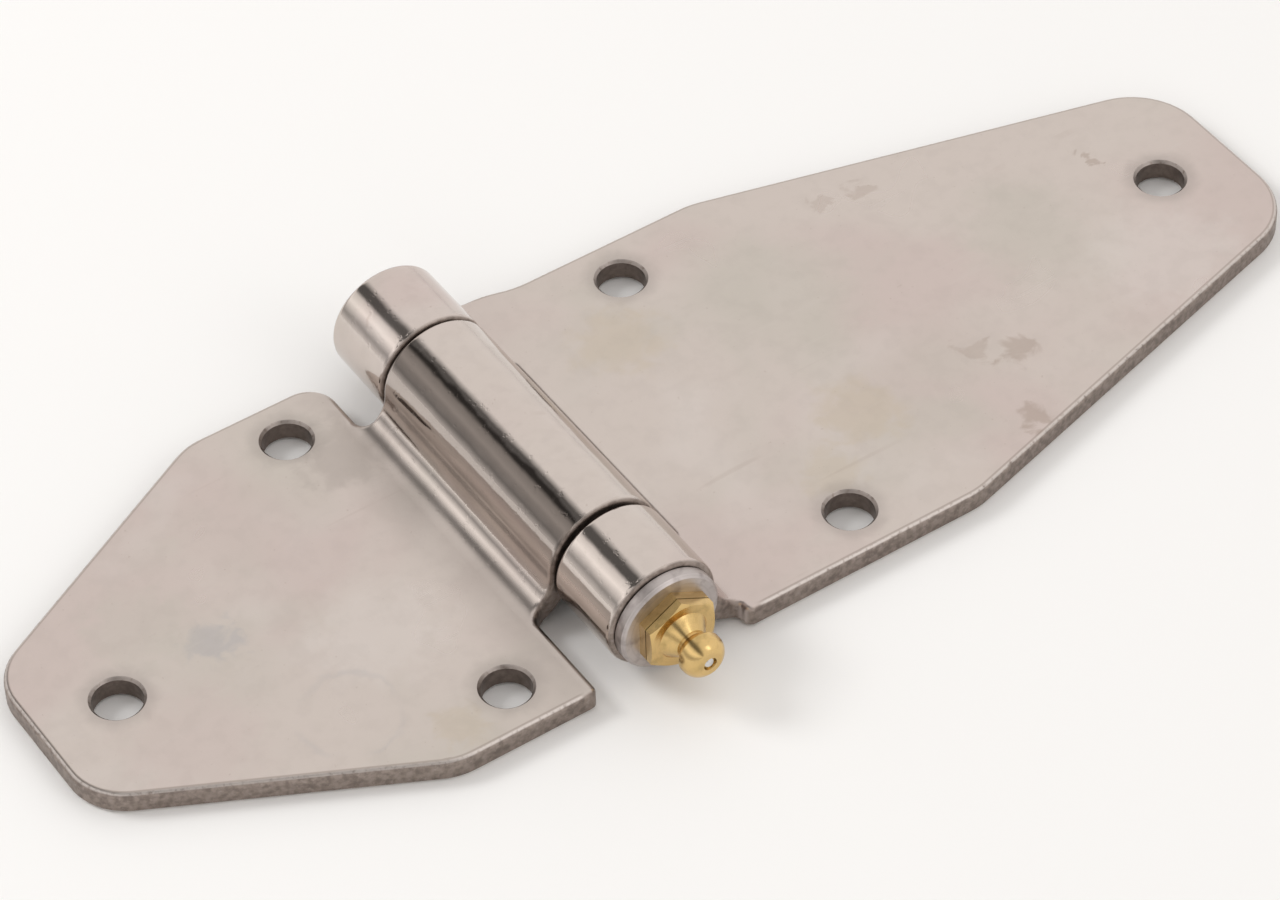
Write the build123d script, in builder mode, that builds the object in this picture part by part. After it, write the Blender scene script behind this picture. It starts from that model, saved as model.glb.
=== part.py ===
from build123d import *
import math
import os

# Bolt-on strap hinge: two rolled sheet leaves on a greased pin. All sizes are in millimetres.
# X runs along the strap towards the long leaf's tip, Y along the pin towards its plain end,
# and Z up from the face that the leaves are bolted down on.
# The origin is straight below the pin, half way across the leaves.

# The sheet and its rolled knuckles
sheet_t = 3.5
bend_r = 5.0
roll_end_angle = 312.0
outer_knuckle_w = 13.0
centre_knuckle_w = 41.9
front_gap = 0.8
rear_gap = 0.3
front_shoulder = 2.4
rear_swell = 1.4
leaf_gap = 3.4
relief_r = 2.4
edge_round = 0.8
edge_break = 0.4

# Outline of the long leaf
long_reach = 121.0
long_tip_w = 32.0
long_taper_start = 50.4
long_tip_corner_r = 11.0
long_side_corner_r = 12.0
long_heel_corner_r = 1.15
swell_length = 9.0

# Outline of the short leaf
short_reach = 75.9
short_tip_w = 26.0
short_taper_start = 33.5
short_tip_corner_r = 9.0
short_side_corner_r = 10.0
short_rear_heel_r = 4.5
short_front_heel_r = 1.0

# Bolt holes
hole_d = 7.0
hole_rim_break = 0.4
pair_from_side = 7.35
long_pair_x = 33.8
long_hole_from_tip = 12.3
short_pair_x = 21.5
short_hole_from_tip = 11.6

# Pin, its head, its end disc and its grease ways
pin_d = 10.0
pin_clear = 0.05
head_d = 15.4
head_t = 1.8
head_gap = 0.15
head_chamfer = 0.45
tail_d = 7.0
tail_clear = 0.02
tail_dome = 0.4
countersink = 0.8
grease_way_d = 3.0
cross_way_d = 2.5
drill_tip = 0.9

# Grease nipple, its check ball and spring
hex_af = 10.0
hex_h = 2.8
hex_chamfer = 0.7
thread_d = 8.0
thread_h = 5.5
thread_clear = 0.03
thread_chamfer = 0.5
shoulder_d = 7.4
neck_d = 4.4
neck_at = 4.6
neck_h = 0.5
coupler_d = 6.5
coupler_at = 6.4
coupler_h = 0.5
nose_d = 3.6
nose_at = 9.0
seat_d = 2.0
seat_land = 0.45
ball_d = 2.4
ball_clear = 0.05
lip_h = 0.6
lip_d = 1.5
wire_d = 0.35
wire_clear = 0.08
spring_turns = 7
wire_sides = 8

# Sizes that follow from the above
bore_r = pin_d / 2 + pin_clear
knuckle_r = bore_r + sheet_t
axis_z = knuckle_r
bend_z = sheet_t + bend_r
bend_x = math.sqrt((knuckle_r + bend_r) ** 2 - (bend_z - axis_z) ** 2)
bend_lean = math.degrees(math.atan2(bend_z - axis_z, bend_x))
heel_x = knuckle_r + leaf_gap
past_roll = knuckle_r + sheet_t
stack_w = 2 * outer_knuckle_w + centre_knuckle_w + front_gap + rear_gap
leaf_w = stack_w + front_shoulder - rear_swell
half_w = leaf_w / 2
pair_y = half_w - pair_from_side
front_y = -half_w + front_shoulder
rear_y = half_w + rear_swell
front_inner_y = front_y + outer_knuckle_w
rear_inner_y = rear_y - outer_knuckle_w
centre_front_y = front_inner_y + front_gap
centre_rear_y = rear_inner_y - rear_gap
head_under_y = front_y - head_gap
head_face_y = head_under_y - head_t
disc_under_y = rear_y + head_gap
disc_face_y = disc_under_y + head_t
pin_axis = Axis((0, 0, axis_z), (0, 1, 0))


def sheet_profile(reach):
    """Side view of a leaf that lies towards +X: flat strap, bend up, and a roll over the pin."""
    roll = roll_end_angle - bend_lean
    with BuildSketch(Plane.XZ) as side:
        with BuildLine():
            under = Line((reach, 0), (bend_x, 0))
            CenterArc((bend_x, bend_z), bend_r + sheet_t, -90, bend_lean - 90)
            bore = CenterArc((0, axis_z), bore_r, bend_lean, roll)
            outside = CenterArc((0, axis_z), knuckle_r, bend_lean, roll)
            Line(bore @ 1, outside @ 1)
            inner_bend = CenterArc((bend_x, bend_z), bend_r, -90, bend_lean - 90)
            top = Line(inner_bend @ 0, (reach, sheet_t))
            Line(top @ 1, under @ 0)
        make_face()
    return side.sketch


def corners(plan, *spots):
    """The corners of a plan that lie nearest to the given spots."""
    return [plan.vertices().sort_by_distance((x, y, 0))[0] for x, y in spots]


def drill_bolt_holes(pair_x, tip_hole_x):
    """Cut a pair of holes across the strap and one near its tip, out of the part being built."""
    with Locations((pair_x, -pair_y), (pair_x, pair_y), (tip_hole_x, 0)):
        Cylinder(hole_d / 2, 3 * sheet_t, mode=Mode.SUBTRACT)


def sheared_edges(leaf):
    """The edges along both faces of the sheet where it was cut from the plate."""
    rims = hole_rims(leaf)
    straight = leaf.edges().filter_by(GeomType.LINE)
    roll_ends = straight.filter_by(lambda e: abs(e.length - sheet_t) < 0.001)
    across = straight.filter_by(Axis.Y)
    heel = across.filter_by(lambda e: abs(abs(e.center().X) - heel_x) < 0.001)
    tip = across.filter_by(lambda e: abs(e.center().X) > heel_x + bend_r)
    tip = tip.filter_by(lambda e: e.length < leaf_w - 2 * edge_round)
    return leaf.edges() - straight.filter_by(Axis.Z) - across - roll_ends - rims + heel + tip


def on_outer_face(edge):
    """True for an edge of the face that is the strap's top and then the outside of its roll."""
    spot = edge @ 0.5
    from_bend = math.hypot(spot.X - bend_x, spot.Z - bend_z)
    from_pin = math.hypot(spot.X, spot.Z - axis_z)
    misses = (spot.Z - sheet_t, from_bend - bend_r, from_pin - knuckle_r)
    return min(abs(miss) for miss in misses) < 0.001


def hole_rims(leaf):
    """The rims of the bolt holes on both faces."""
    round_edges = leaf.edges().filter_by(GeomType.CIRCLE)
    return round_edges.filter_by(lambda e: abs(e.radius - hole_d / 2) < 0.001)


# Long leaf: one sheet whose two outer knuckles are rolled over the pin
with BuildSketch() as long_plan:
    with BuildLine():
        rim = Polyline(
            (-past_roll, front_inner_y),
            (-past_roll, front_y),
            (heel_x, front_y),
            (heel_x, -half_w),
            (long_taper_start, -half_w),
            (long_reach, -long_tip_w / 2),
            (long_reach, long_tip_w / 2),
            (long_taper_start, half_w),
            (bend_x + swell_length, half_w),
        )
        swell_mid = (bend_x + swell_length / 2, (half_w + rear_y) / 2)
        swell_foot = TangentArc(rim @ 1, swell_mid, tangent=(-1, 0))
        TangentArc(swell_mid, (bend_x, rear_y), tangent=swell_foot % 1)
        Polyline(
            (bend_x, rear_y),
            (-past_roll, rear_y),
            (-past_roll, rear_inner_y),
            (heel_x, rear_inner_y),
            (heel_x, front_inner_y),
            rim @ 0,
        )
    make_face()
    tip_corners = corners(long_plan, (long_reach, half_w), (long_reach, -half_w))
    fillet(tip_corners, long_tip_corner_r)
    side_corners = corners(long_plan, (long_taper_start, half_w), (long_taper_start, -half_w))
    fillet(side_corners, long_side_corner_r)
    notch_corners = corners(long_plan, (heel_x, rear_inner_y), (heel_x, front_inner_y))
    fillet(notch_corners, relief_r)
    heel_corners = corners(long_plan, (heel_x, -half_w), (heel_x, front_y))
    fillet(heel_corners, long_heel_corner_r)

with BuildPart() as long_leaf:
    add(extrude(sheet_profile(long_reach), amount=leaf_w, both=True))
    extrude(long_plan.sketch, amount=3 * knuckle_r, both=True, mode=Mode.INTERSECT)
    drill_bolt_holes(long_pair_x, long_reach - long_hole_from_tip)
    chamfer(sheared_edges(long_leaf).filter_by(on_outer_face, reverse=True), edge_break)
    fillet(sheared_edges(long_leaf).filter_by(on_outer_face), edge_round)
    chamfer(hole_rims(long_leaf), hole_rim_break)

# Short leaf: one sheet whose centre knuckle is rolled over the pin from the other side
with BuildSketch() as short_plan:
    with BuildLine():
        Polyline(
            (-past_roll, centre_front_y),
            (heel_x, centre_front_y),
            (heel_x, -half_w),
            (short_taper_start, -half_w),
            (short_reach, -short_tip_w / 2),
            (short_reach, short_tip_w / 2),
            (short_taper_start, half_w),
            (heel_x, half_w),
            (heel_x, centre_rear_y),
            (-past_roll, centre_rear_y),
            close=True,
        )
    make_face()
    tip_corners = corners(short_plan, (short_reach, half_w), (short_reach, -half_w))
    fillet(tip_corners, short_tip_corner_r)
    side_corners = corners(short_plan, (short_taper_start, half_w), (short_taper_start, -half_w))
    fillet(side_corners, short_side_corner_r)
    tongue_corners = corners(short_plan, (heel_x, centre_front_y), (heel_x, centre_rear_y))
    fillet(tongue_corners, relief_r)
    fillet(corners(short_plan, (heel_x, half_w)), short_rear_heel_r)
    fillet(corners(short_plan, (heel_x, -half_w)), short_front_heel_r)

with BuildPart() as short_leaf:
    add(extrude(sheet_profile(short_reach), amount=leaf_w, both=True))
    extrude(short_plan.sketch, amount=3 * knuckle_r, both=True, mode=Mode.INTERSECT)
    drill_bolt_holes(short_pair_x, short_reach - short_hole_from_tip)
    chamfer(sheared_edges(short_leaf).filter_by(on_outer_face, reverse=True), edge_break)
    fillet(sheared_edges(short_leaf).filter_by(on_outer_face), edge_round)
    chamfer(hole_rims(short_leaf), hole_rim_break)
    mirror(about=Plane.YZ, mode=Mode.REPLACE)

# Hinge pin: turned in one piece with its head, and drilled for grease
cross_way_y = (centre_front_y + centre_rear_y) / 2
socket_r = thread_d / 2
with BuildPart() as hinge_pin:
    with BuildSketch(Plane.YZ):
        with BuildLine():
            tail_r = tail_d / 2
            body = Polyline(
                (head_face_y, axis_z),
                (head_face_y, axis_z + head_d / 2 - head_chamfer),
                (head_face_y + head_chamfer, axis_z + head_d / 2),
                (head_under_y, axis_z + head_d / 2),
                (head_under_y, axis_z + pin_d / 2),
                (disc_under_y, axis_z + pin_d / 2),
                (disc_under_y, axis_z + tail_r),
                (disc_face_y - countersink, axis_z + tail_r),
                (disc_face_y, axis_z + tail_r + countersink),
            )
            crest = Line(body @ 0, (disc_face_y + tail_dome, axis_z))
            TangentArc(crest @ 1, body @ 1, tangent=(0, 1))
        make_face()
    revolve(axis=pin_axis)
    with BuildSketch(Plane.YZ):
        with BuildLine():
            Polyline(
                (head_face_y, axis_z),
                (head_face_y, axis_z + socket_r),
                (head_face_y + thread_h + thread_chamfer, axis_z + socket_r),
                (head_face_y + thread_h + 2 * thread_chamfer, axis_z + grease_way_d / 2),
                (cross_way_y + cross_way_d, axis_z + grease_way_d / 2),
                (cross_way_y + cross_way_d + drill_tip, axis_z),
                close=True,
            )
        make_face()
    revolve(axis=pin_axis, mode=Mode.SUBTRACT)
    with Locations((0, cross_way_y, axis_z)):
        Cylinder(cross_way_d / 2, 2 * pin_d, mode=Mode.SUBTRACT)

# End disc: held on the pin's turned-down tail, which is peened into its countersink
with BuildPart() as end_disc:
    with BuildSketch(Plane.YZ):
        with BuildLine():
            hole_r = tail_d / 2 + tail_clear
            Polyline(
                (disc_under_y, axis_z + hole_r),
                (disc_under_y, axis_z + head_d / 2),
                (disc_face_y - head_chamfer, axis_z + head_d / 2),
                (disc_face_y, axis_z + head_d / 2 - head_chamfer),
                (disc_face_y, axis_z + hole_r + countersink),
                (disc_face_y - countersink, axis_z + hole_r),
                close=True,
            )
        make_face()
    revolve(axis=pin_axis)

# Grease nipple: hexagon, neck and coupler head, with a swaged lip that holds the spring in
way_r = ball_d / 2 + ball_clear
seat_y = head_face_y - nose_at + seat_land
with BuildPart() as grease_nipple:
    with BuildSketch(Plane.YZ):
        with BuildLine():
            thread_r = thread_d / 2 - thread_clear
            back = Polyline(
                (head_face_y + thread_h, axis_z),
                (head_face_y + thread_h, axis_z + thread_r - thread_chamfer),
                (head_face_y + thread_h - thread_chamfer, axis_z + thread_r),
                (head_face_y, axis_z + thread_r),
                (head_face_y - hex_h, axis_z + shoulder_d / 2),
                (head_face_y - neck_at, axis_z + neck_d / 2),
                (head_face_y - neck_at - neck_h, axis_z + neck_d / 2),
                (head_face_y - coupler_at, axis_z + coupler_d / 2),
                (head_face_y - coupler_at - coupler_h, axis_z + coupler_d / 2),
            )
            crown = TangentArc(back @ 1, (head_face_y - nose_at, axis_z + nose_d / 2), tangent=(-1, 0))
            Polyline(crown @ 1, (head_face_y - nose_at, axis_z), back @ 0)
        make_face()
    revolve(axis=pin_axis)
    with BuildSketch(Plane.XZ.offset(-head_face_y)):
        with Locations((0, axis_z)):
            RegularPolygon(hex_af / 2, 6, major_radius=False, rotation=30)
    extrude(amount=hex_h)
    with BuildSketch(Plane.YZ):
        with BuildLine():
            hex_r = hex_af / math.sqrt(3)
            front_hex_y = head_face_y - hex_h
            Polyline(
                (front_hex_y, axis_z + hex_af / 2),
                (front_hex_y, axis_z + hex_r),
                (front_hex_y + hex_chamfer / 2, axis_z + hex_r),
                close=True,
            )
        make_face()
    revolve(axis=pin_axis, mode=Mode.SUBTRACT)
    with BuildSketch(Plane.YZ):
        with BuildLine():
            Polyline(
                (seat_y, axis_z),
                (seat_y, axis_z + way_r),
                (head_face_y + thread_h - lip_h, axis_z + way_r),
                (head_face_y + thread_h - lip_h, axis_z + lip_d / 2),
                (head_face_y + thread_h, axis_z + lip_d / 2),
                (head_face_y + thread_h, axis_z),
                close=True,
            )
        make_face()
    revolve(axis=pin_axis, mode=Mode.SUBTRACT)
    with BuildSketch(Plane.XZ.offset(-seat_y)):
        with Locations((0, axis_z)):
            Circle(seat_d / 2)
    extrude(amount=2 * seat_land, mode=Mode.SUBTRACT)

# Check ball: rests against the seat inside the nipple's nose
ball_r = ball_d / 2
ball_y = seat_y + math.sqrt(ball_r**2 - (seat_d / 2) ** 2) + ball_clear
with BuildPart() as check_ball:
    with Locations((0, ball_y, axis_z)):
        Sphere(ball_r)

# Spring behind the ball
coil_r = way_r - wire_clear - wire_d / 2
spring_front_y = ball_y + ball_r * 0.75 + wire_d / 2 + wire_clear
spring_back_y = head_face_y + thread_h - lip_h - wire_clear - wire_d / 2
spring_len = spring_back_y - spring_front_y
spring_pitch = spring_len / spring_turns
spring_at = (0, spring_front_y, axis_z)
with BuildPart() as nipple_spring:
    with BuildLine() as coil:
        Helix(spring_pitch, spring_len, coil_r, center=spring_at, direction=(0, 1, 0))
    with BuildSketch(Plane(origin=coil.line @ 0, z_dir=coil.line % 0)):
        RegularPolygon(wire_d / 2, wire_sides)
    sweep()

nodes = {
    "long_leaf": long_leaf,
    "short_leaf": short_leaf,
    "hinge_pin": hinge_pin,
    "end_disc": end_disc,
    "grease_nipple": grease_nipple,
    "check_ball": check_ball,
    "nipple_spring": nipple_spring,
}
os.makedirs("parts", exist_ok=True)
for name, node in nodes.items():
    node.part.label = name
    export_step(node.part, f"parts/{name}.step")
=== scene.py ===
import math

import bpy
from mathutils import Matrix, Vector


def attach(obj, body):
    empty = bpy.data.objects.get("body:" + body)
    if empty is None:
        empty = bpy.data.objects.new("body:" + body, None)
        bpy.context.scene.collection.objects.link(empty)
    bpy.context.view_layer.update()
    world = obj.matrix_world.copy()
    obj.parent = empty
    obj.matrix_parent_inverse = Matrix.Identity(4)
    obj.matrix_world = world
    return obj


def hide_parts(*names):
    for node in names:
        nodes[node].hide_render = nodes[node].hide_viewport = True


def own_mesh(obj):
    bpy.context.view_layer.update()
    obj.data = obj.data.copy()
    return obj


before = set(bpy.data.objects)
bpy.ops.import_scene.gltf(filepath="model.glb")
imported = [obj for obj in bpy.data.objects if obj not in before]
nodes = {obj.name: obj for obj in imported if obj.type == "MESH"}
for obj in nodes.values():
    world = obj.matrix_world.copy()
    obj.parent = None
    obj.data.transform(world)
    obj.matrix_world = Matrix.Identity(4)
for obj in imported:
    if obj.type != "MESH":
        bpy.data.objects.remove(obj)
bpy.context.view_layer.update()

print("frame loaded:", ", ".join(sorted(nodes)))

# ---------- camera, floor and light

view = {
    "lookAt": (0.01883, 0.00088, 0.0),
    "heading": 57.108,
    "elevation": 45.745,
    "roll": -1.712,
    "distance": 0.69746,
    "lens": 142.5,
    "sensor": 36,
    "nearest": 0.01,
}

studio = {
    "floorSize": 6.0,
    "floorDrop": 0.00012,
    "floorColour": (0.90, 0.895, 0.885, 1),
    "floorRoughness": 0.9,
    "floorSpecular": 0.1,
    "skyStrength": 1.0,
    # turn round the pin from straight right (0) over the top to straight left (1), then brightness
    "bands": (
        (0.00, 0.92),
        (0.06, 1.02),
        (0.53, 1.02),
        (0.595, 0.13),
        (0.675, 0.13),
        (0.715, 1.00),
        (0.80, 1.38),
        (0.85, 1.00),
        (0.925, 0.42),
        (1.00, 0.88),
    ),
    "warmth": (1.0, 0.975, 0.955),
}

softboxes = {
    "backBox": {"at": (-0.75, 0.85, 1.0), "size": (0.5, 0.5), "watts": 7, "mirrored": False},
    "frontBox": {"at": (0.5, -0.95, 0.75), "size": (0.35, 0.6), "watts": 0.8, "mirrored": True},
}


def placeCamera(setup):
    heading = math.radians(setup["heading"])
    lift = math.radians(setup["elevation"])
    level = math.cos(lift)
    ahead = Vector((math.cos(heading) * level, math.sin(heading) * level, -math.sin(lift)))
    data = bpy.data.cameras.new("hingeCamera")
    data.lens = setup["lens"]
    data.sensor_width = setup["sensor"]
    data.clip_start = setup["nearest"]
    camera = bpy.data.objects.new("hingeCamera", data)
    bpy.context.scene.collection.objects.link(camera)
    turn = ahead.to_track_quat("-Z", "Y").to_matrix().to_4x4()
    roll = Matrix.Rotation(math.radians(setup["roll"]), 4, "Z")
    stand = Vector(setup["lookAt"]) - ahead * setup["distance"]
    camera.matrix_world = Matrix.Translation(stand) @ turn @ roll
    bpy.context.scene.camera = camera


def addNode(tree, kind, values=None, **settings):
    made = tree.nodes.new(kind)
    for key, value in settings.items():
        setattr(made, key, value)
    for key, value in (values or {}).items():
        if isinstance(value, bpy.types.NodeSocket):
            tree.links.new(value, made.inputs[key])
        else:
            made.inputs[key].default_value = value
    return made


def maths(tree, operation, first, second=0.0, clamp=False):
    values = {0: first, 1: second}
    return addNode(tree, "ShaderNodeMath", values, operation=operation, use_clamp=clamp).outputs[0]


def between(tree, value, low, high):
    reach = {"Value": value, "From Min": low, "From Max": high}
    return addNode(tree, "ShaderNodeMapRange", reach, interpolation_type="SMOOTHSTEP").outputs[0]


def tint(tree, mask, under, over):
    return addNode(tree, "ShaderNodeMix", {0: mask, 6: under, 7: over}, data_type="RGBA").outputs[2]


def grain(tree, coords, scale, detail, distortion=0.0):
    values = {"Vector": coords, "Scale": scale, "Detail": detail, "Distortion": distortion}
    return addNode(tree, "ShaderNodeTexNoise", values).outputs[0]


def layFloor(setup):
    half = setup["floorSize"] / 2
    mesh = bpy.data.meshes.new("studioFloor")
    low = -setup["floorDrop"]
    corners = [(-half, -half, low), (half, -half, low), (half, half, low), (-half, half, low)]
    mesh.from_pydata(corners, [], [(0, 1, 2, 3)])
    floor = bpy.data.objects.new("studioFloor", mesh)
    bpy.context.scene.collection.objects.link(floor)
    paper = bpy.data.materials.new("whitePaper")
    paper.use_nodes = True
    shader = paper.node_tree.nodes["Principled BSDF"]
    shader.inputs["Base Color"].default_value = setup["floorColour"]
    shader.inputs["Roughness"].default_value = setup["floorRoughness"]
    shader.inputs["Specular IOR Level"].default_value = setup["floorSpecular"]
    mesh.materials.append(paper)


def hangSky(setup):
    world = bpy.data.worlds.new("studioSky")
    bpy.context.scene.world = world
    world.use_nodes = True
    tree = world.node_tree
    towards = addNode(tree, "ShaderNodeTexCoord").outputs["Generated"]
    parts = addNode(tree, "ShaderNodeSeparateXYZ", {0: towards})
    turn = maths(tree, "ARCTAN2", parts.outputs["Z"], parts.outputs["X"])
    turn = maths(tree, "DIVIDE", turn, math.pi, clamp=True)
    ramp = addNode(tree, "ShaderNodeValToRGB", {0: turn})
    stops = ramp.color_ramp.elements
    while len(stops) < len(setup["bands"]):
        stops.new(1.0)
    for stop, (at, value) in zip(stops, setup["bands"]):
        stop.position = at
        stop.color = tuple(value * part for part in setup["warmth"]) + (1,)
    back = tree.nodes["Background"]
    tree.links.new(ramp.outputs[0], back.inputs["Color"])
    back.inputs["Strength"].default_value = setup["skyStrength"]


def hangSoftboxes(boxes):
    for name, box in boxes.items():
        data = bpy.data.lights.new(name, "AREA")
        data.shape = "RECTANGLE"
        data.size, data.size_y = box["size"]
        data.energy = box["watts"]
        lamp = bpy.data.objects.new(name, data)
        lamp.location = box["at"]
        lamp.rotation_mode = "QUATERNION"
        lamp.rotation_quaternion = (-Vector(box["at"])).to_track_quat("-Z", "Y")
        lamp.visible_glossy = box["mirrored"]
        bpy.context.scene.collection.objects.link(lamp)


placeCamera(view)
layFloor(studio)
hangSky(studio)
hangSoftboxes(softboxes)
bpy.context.scene.view_settings.view_transform = "Standard"
print("camera, floor and light set")

# ---------- rolled and tumbled sheet

sheetLook = {
    "clean": (0.605, 0.540, 0.498, 1),
    "pink": (0.590, 0.505, 0.472, 1),
    "green": (0.545, 0.505, 0.452, 1),
    "yellow": (0.560, 0.485, 0.395, 1),
    "pale": (0.680, 0.625, 0.590, 1),
    "blue": (0.44, 0.425, 0.43, 1),
    "brown": (0.33, 0.25, 0.20, 1),
    "cut": (0.32, 0.265, 0.232, 1),
    "cutDark": (0.165, 0.130, 0.112, 1),
    "cutGlint": (0.52, 0.45, 0.41, 1),
    # bend: colour of the grime and of the painted shade near the bend
    "bend": (0.30, 0.265, 0.24, 1),
    # painted shade colour for the side of the roll that faces -X
    "shadedRoll": (0.120, 0.100, 0.088, 1),
    "holeHalo": (0.28, 0.25, 0.23, 1),
    "plateRoughness": 0.30,
    "rollRoughness": 0.10,
    "cutRoughness": 0.42,
    "reliefStrength": 0.55,
}

# scale, detail and distortion of each noise
sheetGrains = {
    "broad": (26.0, 2.0, 0.5),
    "other": (38.0, 2.0, 0.4),
    "middle": (62.0, 2.0, 0.3),
    "dents": (95.0, 3.0),
    "waver": (210.0, 5.0),
    "ragged": (330.0, 6.0, 0.5),
    "fine": (420.0, 6.0),
    "scratch": (520.0, 1.0),
    "pit": (800.0, 3.0),
    "streak": (900.0, 2.0),
    "gritty": (1100.0, 5.0),
    "speck": (1500.0, 3.0),
}

sheetLies = {
    "other": {"Location": (0.3, 0.1, 0.7)},
    "streak": {"Rotation": (0, 0, 0.55), "Scale": (0.06, 1.0, 1.0)},
    "scratch": {"Rotation": (0, 0, -0.9), "Scale": (0.035, 1.0, 1.0)},
}

# where each mask starts and where it is full: noise values, metres, or parts of the normal
sheetRanges = {
    "pinkPatch": (0.46, 0.66),
    "greenPatch": (0.50, 0.74),
    "palePatch": (0.52, 0.80),
    "brokenRing": (0.36, 0.60),
    "streak": (0.62, 0.72),
    "scratch": (0.69, 0.74),
    "scratchedArea": (0.50, 0.62),
    "grime": (0.42, 0.70),
    "darkSpeck": (0.70, 0.76),
    "onPlate": (0.0052, 0.0040),
    "nearBend": (0.0215, 0.0125),
    "brokenBend": (0.34, 0.60),
    "rollShadeStart": (-0.40, -0.46),
    "rollShadeFade": (-0.92, -0.68),
    "rollShadeReach": (0.0090, 0.0084),
    "roundHole": (0.0064, 0.0036),
    "holeWall": (0.0041, 0.0037),
    "offRoll": (0.0135, 0.0150),
    "plateEdge": (0.985, 0.72),
    "endFace": (0.35, 0.80),
    "cutMottle": (0.28, 0.70),
    "cutGlint": (0.56, 0.78),
    "rimIn": (0.45, 0.72),
    "rimOut": (0.97, 0.86),
    "rimSparkle": (0.22, 0.52),
    "rimShadeIn": (0.82, 0.91),
    "rimShadeOut": (0.999, 0.985),
    "onRoll": (0.0125, 0.0105),
    "pit": (0.70, 0.60),
}

sheetDepths = {
    "greenPatch": 0.75,
    "palePatch": 0.40,
    "streak": 0.10,
    "scratch": 0.14,
    "grime": 0.07,
    "darkSpeck": 0.22,
    "rollShadeBase": 0.25,
    "rollShadeRise": 0.75,
    "holeHalo": 0.34,
    "cut": 0.90,
    "cutGlint": 0.35,
    "rimShade": 0.55,
    "rimSparkle": 0.72,
    "holeWall": 0.55,
    "stainHeart": 0.35,
    "raggedStain": 0.012,
    "raggedRing": 0.25,
    "raggedHole": 0.2,
    "waver": 0.20,
    "roughPatch": 0.16,
    "roughStreak": 0.06,
    "dentHeight": 0.00022,
    "pitHeight": 0.000012,
    "fineHeight": 0.000012,
}

# stains are x, y, radius, colour and depth; rings are x, y, radius, width, colour and depth
longSheet = {
    "bendShade": 0.08,
    "rollShade": 0.0,
    "holes": ((0.0338, 0.02765), (0.0338, -0.02765), (0.1087, 0.0)),
    "stains": (
        (0.0710, -0.0164, 0.0036, "brown", 0.38),
        (0.0655, -0.0130, 0.0026, "brown", 0.25),
        (0.0645, -0.0274, 0.0034, "brown", 0.42),
        (0.0720, 0.0229, 0.0026, "brown", 0.25),
        (0.0660, 0.0240, 0.0022, "brown", 0.20),
        (0.1029, 0.0101, 0.0014, "brown", 0.40),
        (0.0300, -0.0330, 0.0060, "pink", 0.50),
        (0.0267, 0.0174, 0.0085, "yellow", 0.55),
        (0.0460, -0.0131, 0.0080, "yellow", 0.60),
        (0.0360, -0.0200, 0.0060, "yellow", 0.45),
        (0.0860, 0.0020, 0.0120, "green", 0.55),
        (0.0990, -0.0130, 0.0140, "pale", 0.45),
        (0.0500, 0.0080, 0.0150, "green", 0.40),
    ),
    "rings": (),
}

shortSheet = {
    "bendShade": 0.50,
    "rollShade": 0.88,
    "holes": ((-0.0215, 0.02765), (-0.0215, -0.02765), (-0.0643, 0.0)),
    "stains": (
        (-0.0486, 0.0015, 0.0048, "blue", 0.55),
        (-0.0380, 0.0160, 0.0110, "pink", 0.50),
        (-0.0560, 0.0090, 0.0100, "green", 0.45),
        (-0.0300, -0.0100, 0.0120, "pale", 0.40),
        (-0.0300, -0.0300, 0.0050, "yellow", 0.50),
        # painted shade near the bend, in the bend colour, listed among the stains
        (-0.0165, 0.0210, 0.0090, "bend", 0.34),
        (-0.0600, -0.0120, 0.0130, "pink", 0.60),
    ),
    "rings": ((-0.0409, -0.0200, 0.0072, 0.0008, "blue", 0.26),),
}


def vectors(tree, operation, first, second=(0, 0, 0)):
    return addNode(tree, "ShaderNodeVectorMath", {0: first, 1: second}, operation=operation).outputs


def times(tree, first, *others):
    for other in others:
        first = maths(tree, "MULTIPLY", first, other)
    return first


def plus(tree, first, *others):
    for other in others:
        first = maths(tree, "ADD", first, other)
    return first


def unlike(tree, mask):
    return maths(tree, "SUBTRACT", 1.0, mask)


def swing(tree, noise, size):
    return maths(tree, "MULTIPLY", maths(tree, "SUBTRACT", noise, 0.5), size)


def masked(tree, value, key):
    return between(tree, value, *sheetRanges[key])


def farFrom(tree, coords, x, y):
    away = vectors(tree, "SUBTRACT", coords, (x, y, 0))[0]
    return vectors(tree, "LENGTH", vectors(tree, "MULTIPLY", away, (1, 1, 0))[0])["Value"]


def sheetFields(tree, place):
    where = addNode(tree, "ShaderNodeTexCoord")
    coords = vectors(tree, "ADD", where.outputs["Object"], place)[0]
    spot = addNode(tree, "ShaderNodeSeparateXYZ", {0: coords}).outputs
    facing = addNode(tree, "ShaderNodeSeparateXYZ", {0: where.outputs["Normal"]}).outputs
    fields = {
        "coords": coords,
        "alongX": maths(tree, "ABSOLUTE", spot["X"]),
        "facingX": facing["X"],
        "endOn": maths(tree, "ABSOLUTE", facing["Y"]),
        "upright": maths(tree, "ABSOLUTE", facing["Z"]),
        "onPlate": masked(tree, spot["Z"], "onPlate"),
    }
    for name, values in sheetGrains.items():
        laid = coords
        if name in sheetLies:
            laid = addNode(tree, "ShaderNodeMapping", {"Vector": coords, **sheetLies[name]}).outputs[0]
        fields[name] = grain(tree, laid, *values)
    fields["ragged"] = swing(tree, fields["ragged"], sheetDepths["raggedStain"])
    fields["streak"] = masked(tree, fields["streak"], "streak")
    return fields


def heatPatches(tree, look, field):
    colour = tint(tree, masked(tree, field["broad"], "pinkPatch"), look["clean"], look["pink"])
    for patch, noise, tone in (("greenPatch", "other", "green"), ("palePatch", "middle", "pale")):
        mask = times(tree, masked(tree, field[noise], patch), sheetDepths[patch])
        colour = tint(tree, mask, colour, look[tone])
    return colour


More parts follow.
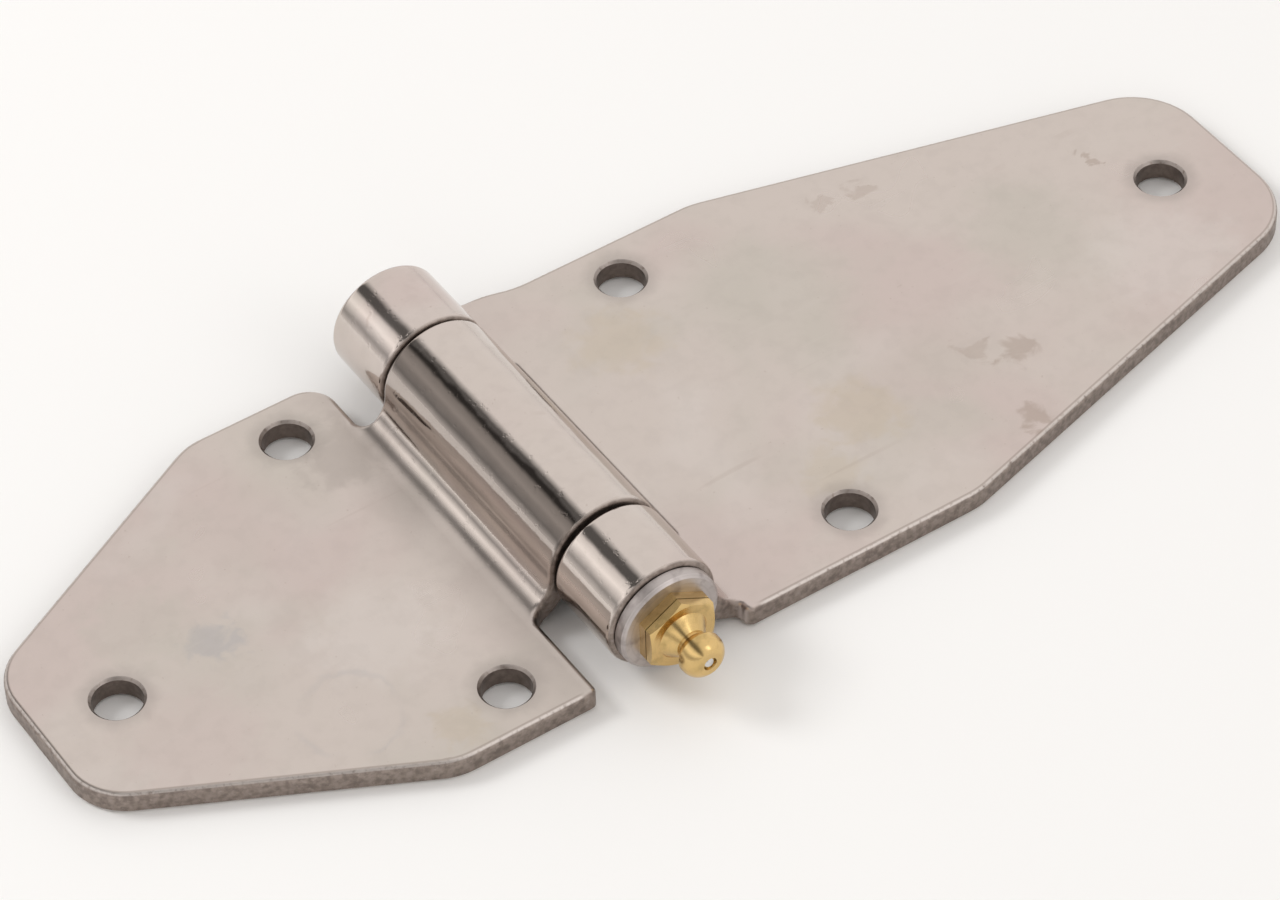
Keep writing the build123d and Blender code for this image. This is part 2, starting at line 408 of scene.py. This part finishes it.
def stains(tree, look, marks, field, colour):
    for x, y, reach, stain, depth in marks["stains"]:
        away = plus(tree, farFrom(tree, field["coords"], x, y), field["ragged"])
        mask = times(tree, between(tree, away, reach, reach * sheetDepths["stainHeart"]), depth)
        colour = tint(tree, mask, colour, look[stain])
    for x, y, radius, width, stain, depth in marks["rings"]:
        away = maths(tree, "SUBTRACT", farFrom(tree, field["coords"], x, y), radius)
        away = plus(tree, away, times(tree, field["ragged"], sheetDepths["raggedRing"]))
        line = between(tree, maths(tree, "ABSOLUTE", away), width, 0.0)
        mask = times(tree, line, masked(tree, field["middle"], "brokenRing"), depth)
        colour = tint(tree, mask, colour, look[stain])
    return colour


def scratches(tree, look, field, colour):
    scratched = masked(tree, field["middle"], "scratchedArea")
    scratch = times(tree, masked(tree, field["scratch"], "scratch"), scratched, sheetDepths["scratch"])
    grime = times(tree, masked(tree, field["fine"], "grime"), sheetDepths["grime"])
    darkSpeck = times(tree, masked(tree, field["speck"], "darkSpeck"), sheetDepths["darkSpeck"])
    colour = tint(tree, times(tree, field["streak"], sheetDepths["streak"]), colour, look["pale"])
    colour = tint(tree, scratch, colour, look["brown"])
    colour = tint(tree, grime, colour, look["bend"])
    return tint(tree, darkSpeck, colour, look["brown"])


def paintedShadeAndHoleHalos(tree, look, marks, field, colour):
    # painted shade: the plate is darkened near the bend, by each leaf's bendShade and broken up by noise
    nearBend = times(tree, masked(tree, field["alongX"], "nearBend"), marks["bendShade"], field["onPlate"])
    nearBend = times(tree, nearBend, masked(tree, field["broad"], "brokenBend"))
    colour = tint(tree, nearBend, colour, look["bend"])
    # painted shade: the side of the roll that faces -X is tinted dark, scaled by each leaf's rollShade
    rise = times(tree, masked(tree, field["facingX"], "rollShadeFade"), sheetDepths["rollShadeRise"])
    fade = plus(tree, sheetDepths["rollShadeBase"], rise)
    shadeTurn = plus(tree, field["facingX"], swing(tree, field["waver"], sheetDepths["waver"]))
    rollShadeMask = times(tree, masked(tree, shadeTurn, "rollShadeStart"), marks["rollShade"], fade)
    rollShadeMask = times(tree, rollShadeMask, masked(tree, field["alongX"], "rollShadeReach"))
    colour = tint(tree, rollShadeMask, colour, look["shadedRoll"])
    # a darker halo round each hole, fading outwards
    for x, y in marks["holes"]:
        waver = times(tree, field["ragged"], sheetDepths["raggedHole"])
        away = plus(tree, farFrom(tree, field["coords"], x, y), waver)
        mask = times(tree, masked(tree, away, "roundHole"), sheetDepths["holeHalo"])
        colour = tint(tree, mask, colour, look["holeHalo"])
    return colour


def cutFaces(tree, look, marks, field, cut, offRoll, colour):
    cutColour = tint(tree, masked(tree, field["gritty"], "cutMottle"), look["cutDark"], look["cut"])
    glint = times(tree, masked(tree, field["speck"], "cutGlint"), sheetDepths["cutGlint"])
    cutColour = tint(tree, glint, cutColour, look["cutGlint"])
    colour = tint(tree, times(tree, cut, sheetDepths["cut"]), colour, cutColour)
    upright = field["upright"]
    # painted shade: a dark line where the rounded top edge leaves the flat
    rimShade = times(tree, masked(tree, upright, "rimShadeIn"), masked(tree, upright, "rimShadeOut"))
    rimShade = times(tree, rimShade, offRoll, sheetDepths["rimShade"])
    colour = tint(tree, rimShade, colour, look["cut"])
    rimBand = times(tree, masked(tree, upright, "rimIn"), masked(tree, upright, "rimOut"), offRoll)
    sparkle = times(tree, rimBand, masked(tree, field["speck"], "rimSparkle"), sheetDepths["rimSparkle"])
    colour = tint(tree, sparkle, colour, look["pale"])
    # painted shade: the walls of each hole are darkened further towards the dark cut colour
    for x, y in marks["holes"]:
        wall = masked(tree, farFrom(tree, field["coords"], x, y), "holeWall")
        colour = tint(tree, times(tree, wall, cut, sheetDepths["holeWall"]), colour, look["cutDark"])
    return colour


def sheetRoughness(tree, look, field, cut):
    onRoll = times(tree, masked(tree, field["alongX"], "onRoll"), unlike(tree, cut))
    polish = times(tree, onRoll, unlike(tree, field["onPlate"]))
    rough = addNode(tree, "ShaderNodeMix", {0: polish, 2: look["plateRoughness"], 3: look["rollRoughness"]})
    rough = addNode(tree, "ShaderNodeMix", {0: cut, 2: rough.outputs[0], 3: look["cutRoughness"]})
    patch = swing(tree, field["middle"], sheetDepths["roughPatch"])
    return plus(tree, rough.outputs[0], patch, times(tree, field["streak"], sheetDepths["roughStreak"]))


def sheetRelief(tree, look, field):
    dents = times(tree, field["dents"], sheetDepths["dentHeight"])
    pits = times(tree, masked(tree, field["pit"], "pit"), sheetDepths["pitHeight"])
    height = plus(tree, dents, pits, times(tree, field["fine"], sheetDepths["fineHeight"]))
    values = {"Strength": look["reliefStrength"], "Distance": 1.0, "Height": height}
    return addNode(tree, "ShaderNodeBump", values).outputs[0]


def newMetal(name):
    metal = bpy.data.materials.new(name)
    metal.use_nodes = True
    shader = metal.node_tree.nodes["Principled BSDF"]
    shader.inputs["Metallic"].default_value = 1
    return metal, metal.node_tree, shader


def connect(tree, shader, colour, rough, relief):
    tree.links.new(colour, shader.inputs["Base Color"])
    tree.links.new(rough, shader.inputs["Roughness"])
    tree.links.new(relief, shader.inputs["Normal"])


def sheetSteel(name, look, marks, place):
    metal, tree, shader = newMetal(name)
    field = sheetFields(tree, place)
    offRoll = masked(tree, field["alongX"], "offRoll")
    plateEdge = times(tree, masked(tree, field["upright"], "plateEdge"), offRoll)
    cut = maths(tree, "MAXIMUM", plateEdge, masked(tree, field["endOn"], "endFace"))
    colour = heatPatches(tree, look, field)
    colour = stains(tree, look, marks, field, colour)
    colour = scratches(tree, look, field, colour)
    colour = paintedShadeAndHoleHalos(tree, look, marks, field, colour)
    colour = cutFaces(tree, look, marks, field, cut, offRoll, colour)
    rough = sheetRoughness(tree, look, field, cut)
    connect(tree, shader, colour, rough, sheetRelief(tree, look, field))
    return metal


def dress(name, metal):
    mesh = nodes[name].data
    mesh.materials.clear()
    mesh.materials.append(metal)


for name, marks in (("long_leaf", longSheet), ("short_leaf", shortSheet)):
    place = nodes[name].matrix_world.translation
    dress(name, sheetSteel(name + "Sheet", sheetLook, marks, tuple(place)))
print("leaves dressed")

# ---------- turned pieces

turnedLooks = {
    "hinge_pin": {
        "light": (0.53, 0.485, 0.47, 1),
        "dark": (0.36, 0.32, 0.31, 1),
        "rough": 0.42,
        "rings": 2600.0,
    },
    "end_disc": {
        "light": (0.38, 0.34, 0.31, 1),
        "dark": (0.24, 0.20, 0.18, 1),
        "rough": 0.36,
        "rings": 1500.0,
    },
    "grease_nipple": {
        "light": (0.70, 0.49, 0.21, 1),
        "dark": (0.52, 0.365, 0.15, 1),
        "rough": 0.22,
        "rings": 3000.0,
    },
    "check_ball": {
        "light": (0.70, 0.69, 0.68, 1),
        "dark": (0.45, 0.43, 0.41, 1),
        "rough": 0.15,
        "rings": 900.0,
    },
    "nipple_spring": {
        "light": (0.55, 0.54, 0.53, 1),
        "dark": (0.30, 0.29, 0.28, 1),
        "rough": 0.3,
        "rings": 900.0,
    },
}
scribeLook = {"light": (0.16, 0.11, 0.04, 1), "dark": (0.07, 0.05, 0.02, 1), "rough": 0.5, "rings": 2000.0}

turnedWear = {
    "ringDetail": 2.0,
    "mottleGrain": (520.0, 5.0),
    "blotchGrain": (160.0, 3.0),
    "mottleRange": (0.48, 0.74),
    "ringRange": (0.5, 0.7),
    "blotchRange": (0.52, 0.7),
    "ringDepth": 0.25,
    "blotchDepth": 0.3,
    "roughSwing": 0.2,
    "ringHeight": 0.000010,
    "mottleHeight": 0.000012,
    "reliefStrength": 0.6,
}
axisHeight = 0.00855


def turnedMetal(name, look, wear, place):
    metal, tree, shader = newMetal(name)
    where = addNode(tree, "ShaderNodeTexCoord")
    coords = vectors(tree, "ADD", where.outputs["Object"], place)[0]
    across = vectors(tree, "MULTIPLY", coords, (1, 0, 1))[0]
    radius = vectors(tree, "LENGTH", vectors(tree, "SUBTRACT", across, (0, 0, axisHeight))[0])["Value"]
    along = addNode(tree, "ShaderNodeSeparateXYZ", {0: coords}).outputs["Y"]
    path = addNode(tree, "ShaderNodeCombineXYZ", {0: radius, 1: along}).outputs[0]
    rings = grain(tree, path, look["rings"], wear["ringDetail"])
    mottle = grain(tree, coords, *wear["mottleGrain"])
    blotch = grain(tree, coords, *wear["blotchGrain"])
    ringMask = times(tree, between(tree, rings, *wear["ringRange"]), wear["ringDepth"])
    blotchMask = times(tree, between(tree, blotch, *wear["blotchRange"]), wear["blotchDepth"])
    colour = tint(tree, between(tree, mottle, *wear["mottleRange"]), look["light"], look["dark"])
    colour = tint(tree, ringMask, colour, look["dark"])
    colour = tint(tree, blotchMask, colour, look["dark"])
    rough = plus(tree, look["rough"], swing(tree, mottle, wear["roughSwing"]))
    height = plus(tree, times(tree, rings, wear["ringHeight"]), times(tree, mottle, wear["mottleHeight"]))
    values = {"Strength": wear["reliefStrength"], "Distance": 1.0, "Height": height}
    connect(tree, shader, colour, rough, addNode(tree, "ShaderNodeBump", values).outputs[0])
    return metal


turned = {}
for name, look in turnedLooks.items():
    place = tuple(nodes[name].matrix_world.translation)
    turned[name] = turnedMetal(name + "Metal", look, turnedWear, place)
    dress(name, turned[name])
print("turned pieces dressed")

# ---------- round head over the pin's rear end

roundHead = {
    # place along the pin and radius, from the underside to the crown
    "profile": (
        (0.03662, 0.00600),
        (0.03675, 0.00630),
        (0.03715, 0.00630),
        (0.03755, 0.00618),
        (0.03792, 0.00592),
        (0.03824, 0.00552),
        (0.03848, 0.00498),
        (0.03862, 0.00430),
        (0.03868, 0.00352),
    ),
    "sides": 96,
}


def lathe(name, setup, metal):
    sides = setup["sides"]
    points, faces = [], []
    for along, radius in setup["profile"]:
        for step in range(sides):
            turn = 2 * math.pi * step / sides
            points.append((radius * math.cos(turn), along, axisHeight + radius * math.sin(turn)))
    last = (len(setup["profile"]) - 1) * sides
    for low in range(0, last, sides):
        for step in range(sides):
            after = (step + 1) % sides
            faces.append((low + step, low + sides + step, low + sides + after, low + after))
    faces.append(tuple(range(sides)))
    faces.append(tuple(reversed(range(last, last + sides))))
    mesh = bpy.data.meshes.new(name)
    mesh.from_pydata(points, [], faces)
    mesh.polygons.foreach_set("use_smooth", [len(face.vertices) < sides for face in mesh.polygons])
    mesh.materials.append(metal)
    mesh.update()
    made = bpy.data.objects.new(name, mesh)
    bpy.context.scene.collection.objects.link(made)
    return made


headMetal = turnedMetal("roundHeadMetal", turnedLooks["end_disc"], turnedWear, (0, 0, 0))
rearHead = lathe("rearHead", roundHead, headMetal)
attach(rearHead, "long_side")
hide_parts("end_disc")
print("round head made")

# ---------- scribed line round the nipple's hexagon

scribe = {
    "sides": 6,
    "apothem": 0.00501,
    "along": -0.03598,
    "width": 0.00012,
    "depth": 0.00004,
    "trim": 0.985,
}


def scribeTree(metal):
    tree = bpy.data.node_groups.new("hexScribe", "GeometryNodeTree")
    face = tree.interface
    face.new_socket("Sides", in_out="INPUT", socket_type="NodeSocketInt")
    face.new_socket("Apothem", in_out="INPUT", socket_type="NodeSocketFloat")
    face.new_socket("Line Size", in_out="INPUT", socket_type="NodeSocketVector")
    face.new_socket("Centre", in_out="INPUT", socket_type="NodeSocketVector")
    face.new_socket("Geometry", in_out="OUTPUT", socket_type="NodeSocketGeometry")
    given = addNode(tree, "NodeGroupInput").outputs
    ring = {"Vertices": given["Sides"], "Radius": given["Apothem"]}
    corners = addNode(tree, "GeometryNodeMeshCircle", ring).outputs[0]
    bar = addNode(tree, "GeometryNodeMeshCube", {"Size": given["Line Size"]}).outputs[0]
    share = maths(tree, "DIVIDE", 2 * math.pi, given["Sides"])
    turn = maths(tree, "MULTIPLY", addNode(tree, "GeometryNodeInputIndex").outputs[0], share)
    euler = addNode(tree, "ShaderNodeCombineXYZ", {"Z": turn}).outputs[0]
    rotation = addNode(tree, "FunctionNodeEulerToRotation", {0: euler}).outputs[0]
    lines = {"Points": corners, "Instance": bar, "Rotation": rotation}
    around = addNode(tree, "GeometryNodeInstanceOnPoints", lines).outputs[0]
    seat = {"Geometry": around, "Translation": given["Centre"], "Rotation": (math.pi / 2, 0, 0)}
    seated = addNode(tree, "GeometryNodeTransform", seat).outputs[0]
    real = addNode(tree, "GeometryNodeRealizeInstances", {0: seated}).outputs[0]
    painted = addNode(tree, "GeometryNodeSetMaterial", {"Geometry": real, "Material": metal}).outputs[0]
    addNode(tree, "NodeGroupOutput", {0: painted})
    return tree


def plainMesh(name, tree, values):
    source = bpy.data.objects.new(name + "Source", bpy.data.meshes.new(name + "Source"))
    bpy.context.scene.collection.objects.link(source)
    modifier = source.modifiers.new(name, "NODES")
    modifier.node_group = tree
    for item in tree.interface.items_tree:
        if item.in_out == "INPUT":
            modifier[item.identifier] = values[item.name]
    bpy.context.view_layer.update()
    ready = source.evaluated_get(bpy.context.evaluated_depsgraph_get())
    mesh = bpy.data.meshes.new_from_object(ready)
    bpy.data.objects.remove(source)
    made = bpy.data.objects.new(name, mesh)
    bpy.context.scene.collection.objects.link(made)
    return made


darkBrass = turnedMetal("scribeBrass", scribeLook, turnedWear, (0, 0, 0))
sideLength = 2 * scribe["apothem"] * math.tan(math.pi / scribe["sides"]) * scribe["trim"]
hexScribe = plainMesh(
    "hexScribe",
    scribeTree(darkBrass),
    {
        "Sides": scribe["sides"],
        "Apothem": scribe["apothem"],
        "Line Size": (scribe["depth"], sideLength, scribe["width"]),
        "Centre": (0.0, scribe["along"], axisHeight),
    },
)
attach(hexScribe, "long_side")
print("hexagon scribed")

# ---------- coil behind the check ball

coil = {
    "front": -0.041232,
    "back": -0.029905,
    "radius": 0.000995,
    "wire": 0.000175,
    "turns": 7.0,
    "stepsPerTurn": 32,
    "wireSides": 10,
    "ballTravel": 0.0006,
}


def coilTree(metal):
    tree = bpy.data.node_groups.new("coilSpring", "GeometryNodeTree")
    face = tree.interface
    face.new_socket("Turns", in_out="INPUT", socket_type="NodeSocketFloat")
    face.new_socket("Steps", in_out="INPUT", socket_type="NodeSocketInt")
    face.new_socket("Radius", in_out="INPUT", socket_type="NodeSocketFloat")
    face.new_socket("Length", in_out="INPUT", socket_type="NodeSocketFloat")
    face.new_socket("Wire Radius", in_out="INPUT", socket_type="NodeSocketFloat")
    face.new_socket("Wire Sides", in_out="INPUT", socket_type="NodeSocketInt")
    face.new_socket("Front End", in_out="INPUT", socket_type="NodeSocketVector")
    face.new_socket("Geometry", in_out="OUTPUT", socket_type="NodeSocketGeometry")
    given = addNode(tree, "NodeGroupInput").outputs
    turns = {
        "Resolution": given["Steps"],
        "Rotations": given["Turns"],
        "Start Radius": given["Radius"],
        "End Radius": given["Radius"],
        "Height": given["Length"],
    }
    path = addNode(tree, "GeometryNodeCurveSpiral", turns).outputs[0]
    section = {"Resolution": given["Wire Sides"], "Radius": given["Wire Radius"]}
    ring = addNode(tree, "GeometryNodeCurvePrimitiveCircle", section).outputs[0]
    sweep = {"Curve": path, "Profile Curve": ring, "Fill Caps": True}
    wire = addNode(tree, "GeometryNodeCurveToMesh", sweep).outputs[0]
    seat = {"Geometry": wire, "Translation": given["Front End"], "Rotation": (-math.pi / 2, 0, 0)}
    seated = addNode(tree, "GeometryNodeTransform", seat).outputs[0]
    real = addNode(tree, "GeometryNodeRealizeInstances", {0: seated}).outputs[0]
    painted = addNode(tree, "GeometryNodeSetMaterial", {"Geometry": real, "Material": metal}).outputs[0]
    addNode(tree, "NodeGroupOutput", {0: painted})
    return tree


coilLength = coil["back"] - coil["front"]
coilSpring = plainMesh(
    "coilSpring",
    coilTree(turned["nipple_spring"]),
    {
        "Turns": coil["turns"],
        "Steps": coil["stepsPerTurn"],
        "Radius": coil["radius"],
        "Length": coilLength,
        "Wire Radius": coil["wire"],
        "Wire Sides": coil["wireSides"],
        "Front End": (0.0, coil["front"], axisHeight),
    },
)
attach(coilSpring, "long_side")
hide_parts("nipple_spring")
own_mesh(coilSpring)
print("spring coiled")
